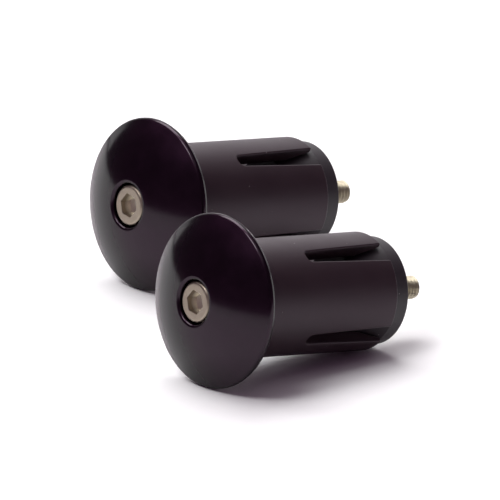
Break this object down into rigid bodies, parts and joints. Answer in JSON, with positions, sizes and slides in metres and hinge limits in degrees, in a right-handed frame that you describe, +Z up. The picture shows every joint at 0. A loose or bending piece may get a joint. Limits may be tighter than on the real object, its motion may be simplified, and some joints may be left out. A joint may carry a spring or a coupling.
{
  "type": "handlebar end plug pair",
  "caption": "Expanding handlebar end plugs: a domed cap, a slit sleeve, and a bolt that pulls a wedge into the sleeve to grip inside the tube.",
  "frame": {"origin": "centre of the pair's bounding box, at the height of the table that both plugs lie on", "axes": "+Z up, +X along the plugs on the table, from the cap to the bolt's tip (each axis dips 8.5 degrees), +Y from the right plug to the left"},
  "size_m": [0.0766, 0.079, 0.0293],
  "materials": {
    "cap": "black anodised, turned, semi-gloss",
    "sleeve": "moulded black nylon, satin",
    "wedge": "moulded black nylon, satin",
    "fastener": "stainless steel, cold formed"
  },
  "bodies": {
    "right_shell": {"right_cap": "cap", "right_sleeve_collar": "sleeve"},
    "right_bolt": {"right_bolt": "fastener"},
    "right_wedge": {"right_wedge": "wedge", "right_nut": "fastener"},
    "right_finger_1": {"right_sleeve_finger_1": "sleeve"},
    "right_finger_2": {"right_sleeve_finger_2": "sleeve"},
    "right_finger_3": {"right_sleeve_finger_3": "sleeve"},
    "right_finger_4": {"right_sleeve_finger_4": "sleeve"},
    "left_shell": {"left_cap": "cap", "left_sleeve_collar": "sleeve"},
    "left_bolt": {"left_bolt": "fastener"},
    "left_wedge": {"left_wedge": "wedge", "left_nut": "fastener"},
    "left_finger_1": {"left_sleeve_finger_1": "sleeve"},
    "left_finger_2": {"left_sleeve_finger_2": "sleeve"},
    "left_finger_3": {"left_sleeve_finger_3": "sleeve"},
    "left_finger_4": {"left_sleeve_finger_4": "sleeve"}
  },
  "joints": [
    {"name": "right_bolt_turn", "type": "hinge", "parent": "right_shell", "child": "right_bolt", "pos_m": [-0.01358, -0.02465, 0.01181], "axis": [0.9891, 0, -0.1475], "range_deg": [0, 1080]},
    {"name": "right_wedge_slide", "type": "slide", "parent": "right_shell", "child": "right_wedge", "axis": [-0.9891, 0, 0.1475], "range_m": [0, 0.0021]},
    {"name": "right_finger_1_flex", "type": "hinge", "parent": "right_shell", "child": "right_finger_1", "pos_m": [-0.01765, -0.0334, 0.01406], "axis": [-0.145, -0.1822, -0.9725], "range_deg": [0, 2.6]},
    {"name": "right_finger_2_flex", "type": "hinge", "parent": "right_shell", "child": "right_finger_2", "pos_m": [-0.01918, -0.02627, 0.0038], "axis": [-0.0269, 0.9833, -0.1802], "range_deg": [0, 2.6]},
    {"name": "right_finger_3_flex", "type": "hinge", "parent": "right_shell", "child": "right_finger_3", "pos_m": [-0.01813, -0.0159, 0.01085], "axis": [0.145, 0.1822, 0.9725], "range_deg": [0, 2.6]},
    {"name": "right_finger_4_flex", "type": "hinge", "parent": "right_shell", "child": "right_finger_4", "pos_m": [-0.0166, -0.02303, 0.02111], "axis": [0.0269, -0.9833, 0.1802], "range_deg": [0, 2.6]},
    {"name": "left_plug_shift", "type": "slide", "parent": "right_shell", "child": "left_shell", "axis": [0, 1, 0], "range_m": [0, 0.06]},
    {"name": "left_bolt_turn", "type": "hinge", "parent": "left_shell", "child": "left_bolt", "pos_m": [0.01332, 0.02465, 0.01181], "axis": [0.9891, 0, -0.1475], "range_deg": [0, 1080]},
    {"name": "left_wedge_slide", "type": "slide", "parent": "left_shell", "child": "left_wedge", "axis": [-0.9891, 0, 0.1475], "range_m": [0, 0.0021]},
    {"name": "left_finger_1_flex", "type": "hinge", "parent": "left_shell", "child": "left_finger_1", "pos_m": [0.00925, 0.0159, 0.01406], "axis": [-0.145, -0.1822, -0.9725], "range_deg": [0, 2.6]},
    {"name": "left_finger_2_flex", "type": "hinge", "parent": "left_shell", "child": "left_finger_2", "pos_m": [0.00772, 0.02303, 0.0038], "axis": [-0.0269, 0.9833, -0.1802], "range_deg": [0, 2.6]},
    {"name": "left_finger_3_flex", "type": "hinge", "parent": "left_shell", "child": "left_finger_3", "pos_m": [0.00877, 0.0334, 0.01085], "axis": [0.145, 0.1822, 0.9725], "range_deg": [0, 2.6]},
    {"name": "left_finger_4_flex", "type": "hinge", "parent": "left_shell", "child": "left_finger_4", "pos_m": [0.0103, 0.02627, 0.02111], "axis": [0.0269, -0.9833, 0.1802], "range_deg": [0, 2.6]}
  ],
  "couplings": [
    {"joint": "right_wedge_slide", "follows": "right_bolt_turn", "m_per_rad": 0.0001114},
    {"joint": "right_finger_1_flex", "follows": "right_bolt_turn", "ratio": 0.002407},
    {"joint": "right_finger_2_flex", "follows": "right_bolt_turn", "ratio": 0.002407},
    {"joint": "right_finger_3_flex", "follows": "right_bolt_turn", "ratio": 0.002407},
    {"joint": "right_finger_4_flex", "follows": "right_bolt_turn", "ratio": 0.002407},
    {"joint": "left_wedge_slide", "follows": "left_bolt_turn", "m_per_rad": 0.0001114},
    {"joint": "left_finger_1_flex", "follows": "left_bolt_turn", "ratio": 0.002407},
    {"joint": "left_finger_2_flex", "follows": "left_bolt_turn", "ratio": 0.002407},
    {"joint": "left_finger_3_flex", "follows": "left_bolt_turn", "ratio": 0.002407},
    {"joint": "left_finger_4_flex", "follows": "left_bolt_turn", "ratio": 0.002407}
  ]
}
